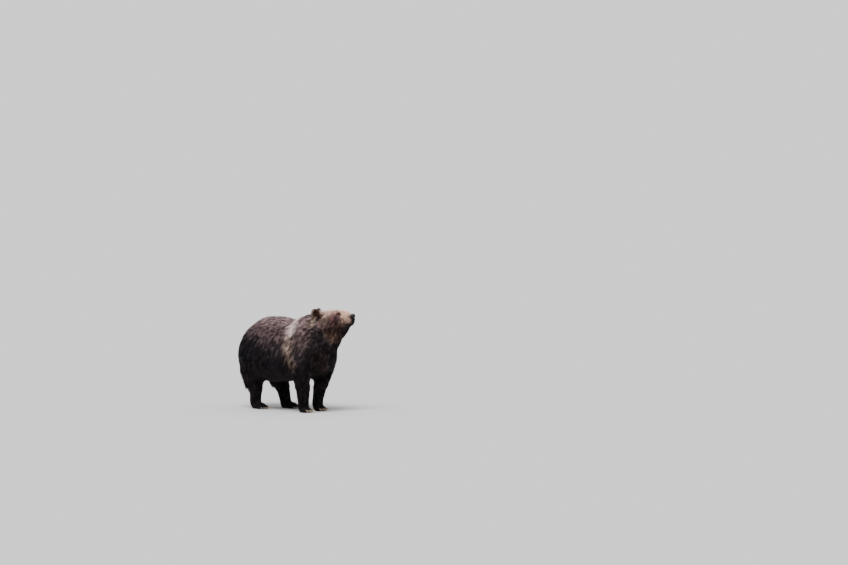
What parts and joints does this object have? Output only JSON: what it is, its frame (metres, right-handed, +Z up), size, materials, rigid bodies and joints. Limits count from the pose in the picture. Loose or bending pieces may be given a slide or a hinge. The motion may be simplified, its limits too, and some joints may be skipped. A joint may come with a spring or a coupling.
{
  "type": "grizzly bear figure",
  "caption": "Life-size standing grizzly bear with a raised head turned to its left, for scenes and displays; it stands on flat soles.",
  "frame": {"origin": "middle of the bounding box, on the ground plane under the soles", "axes": "+Z up; the bear faces -Y, so +Y runs from its head to its rump; +X is its left side"},
  "size_m": [0.7218, 1.473, 1.1945],
  "materials": {
    "coat_dark": "long dark brown coat of the barrel and thighs",
    "coat_mid": "long grizzled brown coat of the neck and shoulders",
    "coat_tan": "short tan coat of the head and ears",
    "coat_black": "short blackish brown coat of the legs and paws",
    "nose_leather": "bare black skin, moist",
    "claw_horn": "dark horn",
    "eye_brown": "wet dark brown"
  },
  "bodies": {
    "root": {"ear_left": "coat_tan", "ear_right": "coat_tan", "eye_left": "eye_brown", "eye_right": "eye_brown", "forearm_left": "coat_black", "forearm_right": "coat_black", "forepaw_left": "coat_black", "forepaw_left_claw_1": "claw_horn", "forepaw_left_claw_2": "claw_horn", "forepaw_left_claw_3": "claw_horn", "forepaw_left_claw_4": "claw_horn", "forepaw_left_claw_5": "claw_horn", "forepaw_right": "coat_black", "forepaw_right_claw_1": "claw_horn", "forepaw_right_claw_2": "claw_horn", "forepaw_right_claw_3": "claw_horn", "forepaw_right_claw_4": "claw_horn", "forepaw_right_claw_5": "claw_horn", "head": "coat_tan", "hindpaw_left": "coat_black", "hindpaw_left_claw_1": "claw_horn", "hindpaw_left_claw_2": "claw_horn", "hindpaw_left_claw_3": "claw_horn", "hindpaw_left_claw_4": "claw_horn", "hindpaw_left_claw_5": "claw_horn", "hindpaw_right": "coat_black", "hindpaw_right_claw_1": "claw_horn", "hindpaw_right_claw_2": "claw_horn", "hindpaw_right_claw_3": "claw_horn", "hindpaw_right_claw_4": "claw_horn", "hindpaw_right_claw_5": "claw_horn", "neck": "coat_mid", "nose": "nose_leather", "shank_left": "coat_black", "shank_right": "coat_black", "tail": "coat_dark", "thigh_left": "coat_dark", "thigh_right": "coat_dark", "trunk_front": "coat_mid", "trunk_middle": "coat_dark", "trunk_rear": "coat_dark", "upper_arm_left": "coat_dark", "upper_arm_right": "coat_dark"}
  },
  "joints": []
}
